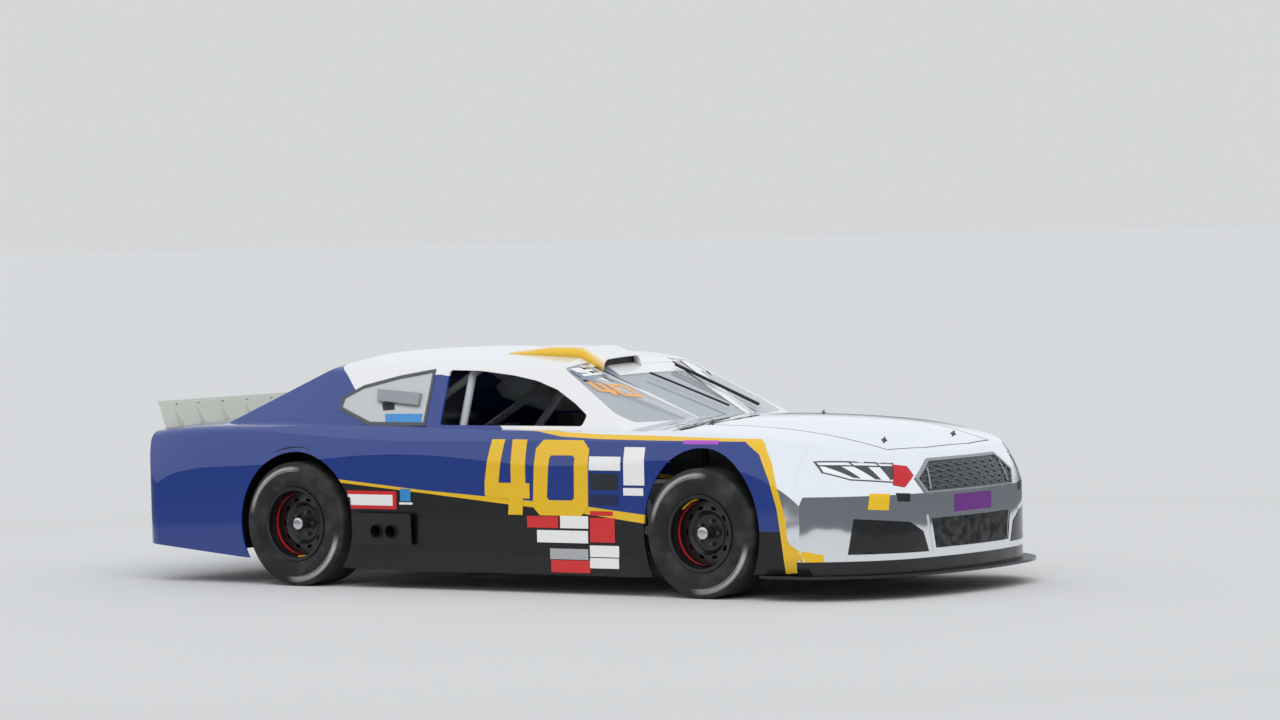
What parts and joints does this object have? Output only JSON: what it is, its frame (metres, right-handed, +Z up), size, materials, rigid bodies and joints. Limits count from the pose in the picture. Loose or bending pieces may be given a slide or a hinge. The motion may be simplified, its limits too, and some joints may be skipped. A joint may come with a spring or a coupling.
{
  "type": "stock car",
  "caption": "Full-size two-door circuit stock car: composite body on a tube frame, opening hood and deck lid, steered front wheels and free-turning wheels.",
  "frame": {"origin": "on the ground below the middle of the car, centre of its bounding box", "axes": "+X towards the nose, +Y towards the driver's left, +Z up"},
  "size_m": [5.06, 1.97, 1.2878],
  "materials": {
    "body_paint": "gloss",
    "chrome_wrap": "mirror",
    "black_trim": "satin",
    "polycarbonate": "clear",
    "tyre_rubber": "matte",
    "wheel_steel": "satin",
    "brake_iron": "machined",
    "frame_steel": "satin",
    "cage_paint": "gloss",
    "aluminium_sheet": "brushed",
    "engine_metal": "cast",
    "spring_paint": "gloss",
    "seat_shell": "woven",
    "webbing": "woven",
    "lamp_cover": "gloss"
  },
  "bodies": {
    "chassis": {"chassis_frame": "frame_steel", "roll_cage": "cage_paint", "floor_pan": "aluminium_sheet", "engine_block": "engine_metal", "driveline": "frame_steel", "fuel_cell": "black_trim", "exhaust": "black_trim", "radiator": "aluminium_sheet", "rear_axle": "frame_steel", "front_suspension": "spring_paint", "rear_suspension": "spring_paint", "nose": "chrome_wrap", "fender_left": "body_paint", "fender_right": "body_paint", "door_left": "body_paint", "door_right": "body_paint", "roof_shell": "body_paint", "cowl_panel": "chrome_wrap", "window_sill": "body_paint", "quarter_left": "body_paint", "quarter_right": "body_paint", "rear_bumper": "body_paint", "side_skirts": "black_trim", "splitter": "black_trim", "windshield": "polycarbonate", "rear_window": "polycarbonate", "quarter_windows": "polycarbonate", "headlamps": "lamp_cover", "grilles": "black_trim", "seat": "seat_shell", "dashboard": "black_trim", "window_net": "webbing"},
    "hood": {"hood": "chrome_wrap"},
    "deck_lid": {"deck_lid": "body_paint", "spoiler": "polycarbonate"},
    "knuckle_left": {"knuckle_left": "brake_iron"},
    "knuckle_right": {"knuckle_right": "brake_iron"},
    "steering_wheel": {"steering_wheel": "black_trim"},
    "wheel_front_left": {"tyre_front_left": "tyre_rubber", "wheel_front_left": "wheel_steel", "brake_disc_front_left": "brake_iron"},
    "wheel_front_right": {"tyre_front_right": "tyre_rubber", "wheel_front_right": "wheel_steel", "brake_disc_front_right": "brake_iron"},
    "wheel_rear_left": {"tyre_rear_left": "tyre_rubber", "wheel_rear_left": "wheel_steel", "brake_disc_rear_left": "brake_iron"},
    "wheel_rear_right": {"tyre_rear_right": "tyre_rubber", "wheel_rear_right": "wheel_steel", "brake_disc_rear_right": "brake_iron"}
  },
  "joints": [
    {"name": "hood_hinge", "type": "hinge", "parent": "chassis", "child": "hood", "pos_m": [1.045, 0, 0.885], "axis": [0, -1, 0], "range_deg": [0, 50]},
    {"name": "deck_lid_hinge", "type": "hinge", "parent": "chassis", "child": "deck_lid", "pos_m": [-2.13, 0, 0.885], "axis": [0, 1, 0], "range_deg": [0, 50]},
    {"name": "steer_left", "type": "hinge", "parent": "chassis", "child": "knuckle_left", "pos_m": [1.37, 0.72, 0.343], "axis": [0, -0.1045, 0.9945], "range_deg": [-20, 20]},
    {"name": "steer_right", "type": "hinge", "parent": "chassis", "child": "knuckle_right", "pos_m": [1.37, -0.72, 0.343], "axis": [0, 0.1045, 0.9945], "range_deg": [-20, 20]},
    {"name": "steering_wheel_turn", "type": "hinge", "parent": "chassis", "child": "steering_wheel", "pos_m": [0.33, 0.385, 0.79], "axis": [-0.9397, 0, 0.342], "range_deg": [-240, 240]},
    {"name": "spin_front_left", "type": "hinge", "parent": "knuckle_left", "child": "wheel_front_left", "pos_m": [1.37, 0.82, 0.343], "axis": [0, 1, 0], "continuous": true},
    {"name": "spin_front_right", "type": "hinge", "parent": "knuckle_right", "child": "wheel_front_right", "pos_m": [1.37, -0.82, 0.343], "axis": [0, 1, 0], "continuous": true},
    {"name": "spin_rear_left", "type": "hinge", "parent": "chassis", "child": "wheel_rear_left", "pos_m": [-1.37, 0.82, 0.343], "axis": [0, 1, 0], "continuous": true},
    {"name": "spin_rear_right", "type": "hinge", "parent": "chassis", "child": "wheel_rear_right", "pos_m": [-1.37, -0.82, 0.343], "axis": [0, 1, 0], "continuous": true}
  ],
  "couplings": [
    {"joint": "steer_right", "follows": "steer_left", "ratio": 1},
    {"joint": "steering_wheel_turn", "follows": "steer_left", "ratio": 12}
  ]
}
